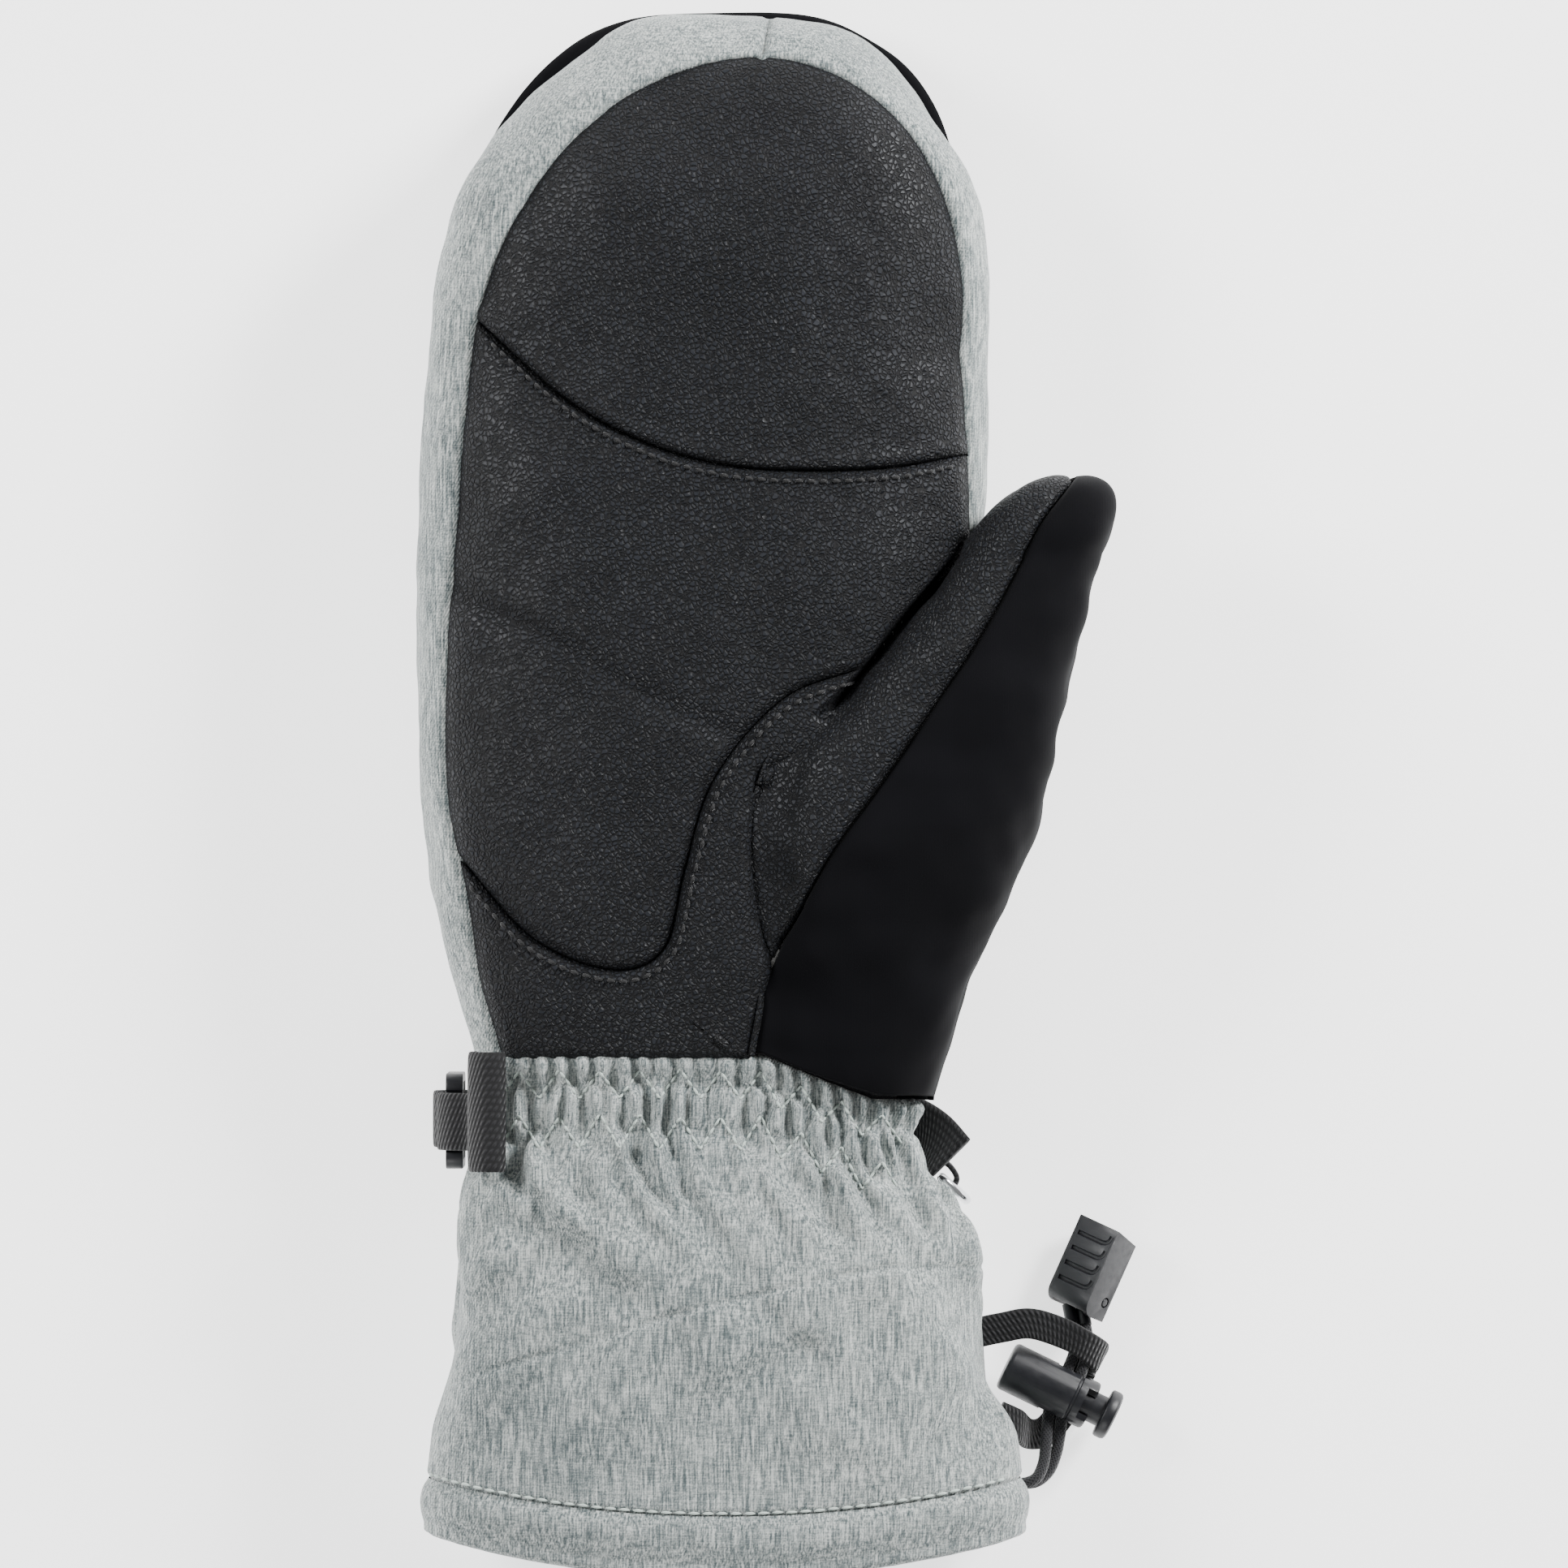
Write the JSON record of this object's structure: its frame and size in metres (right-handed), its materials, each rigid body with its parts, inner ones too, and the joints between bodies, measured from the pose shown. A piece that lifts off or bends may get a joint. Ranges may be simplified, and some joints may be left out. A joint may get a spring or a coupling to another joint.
{
  "type": "ski mitten",
  "caption": "Padded right-hand ski mitten with leather palm, gauntlet cuff, hem drawcord with cord lock and end clip, wrist strap with buckle and D-ring.",
  "frame": {"origin": "centre of the bottom of the mitten's box, on the surface that the back of the hand lies on, without the free drawcord ends", "axes": "+Y from the cuff to the fingertips, +X towards the thumb, +Z out of the palm"},
  "size_m": [0.1496, 0.3271, 0.06],
  "materials": {
    "palm_leather": "grained, soft sheen",
    "grey_twill": "heather twill",
    "softshell": "smooth, matte",
    "wadding": "fluffy",
    "fleece": "brushed",
    "elastic": "woven elastic",
    "cord": "braided elastic cord",
    "webbing": "ribbed woven webbing",
    "plastic": "moulded, fine texture",
    "steel": "polished"
  },
  "bodies": {
    "hand": {"palm_finger_panel": "palm_leather", "palm_centre_panel": "palm_leather", "palm_heel_panel": "palm_leather", "back_panel": "softshell", "gusset_little_finger_side": "grey_twill", "gusset_index_side": "grey_twill", "thumb_base_inner_panel": "palm_leather", "thumb_base_outer_panel": "softshell", "insulation_hand": "wadding", "liner_hand": "fleece", "cuff_palm_panel": "grey_twill", "cuff_back_panel": "grey_twill", "cuff_lining": "fleece", "wrist_elastic_1": "elastic", "wrist_elastic_2": "elastic", "hem_channel": "grey_twill", "hem_drawcord": "cord", "cord_lock_barrel": "plastic", "cord_lock_spring": "steel", "cord_lock_loop": "webbing", "drawcord_strand_a": "cord", "drawcord_strand_b": "cord", "cord_clip_body": "plastic", "cord_clip_pin": "plastic", "buckle_tab": "webbing", "wrist_strap": "webbing", "side_loop": "webbing", "d_ring_tab": "webbing"},
    "thumb": {"thumb_inner_panel": "palm_leather", "thumb_outer_panel": "softshell", "insulation_thumb": "wadding", "liner_thumb": "fleece"},
    "plunger": {"cord_lock_plunger": "plastic"},
    "clip_insert": {"cord_clip_insert": "plastic"},
    "buckle_frame": {"buckle": "plastic"},
    "ring": {"d_ring": "steel"}
  },
  "joints": [
    {"name": "thumb_spread", "type": "hinge", "parent": "hand", "child": "thumb", "pos_m": [0.0303, -0.024, 0.04], "axis": [0, 0, -1], "range_deg": [0, 25], "stiffness_Nm_per_rad": 0.05},
    {"name": "plunger_press", "type": "slide", "parent": "hand", "child": "plunger", "axis": [-0.8988, 0.4384, 0], "range_m": [0, 0.0024], "stiffness_N_per_m": 400, "springref_m": -0.003},
    {"name": "clip_open", "type": "hinge", "parent": "hand", "child": "clip_insert", "pos_m": [0.0654, -0.10742, 0.0051], "axis": [-0.7199, 0.3205, -0.6157], "range_deg": [0, 40]},
    {"name": "buckle_rock", "type": "hinge", "parent": "hand", "child": "buckle_frame", "pos_m": [-0.0673, -0.0704, 0.0263], "axis": [0, 1, 0], "range_deg": [-4, 4]},
    {"name": "d_ring_swing", "type": "hinge", "parent": "hand", "child": "ring", "pos_m": [0.03496, -0.08273, 0.0084], "axis": [0, 0, 1], "range_deg": [-20, 40]}
  ]
}
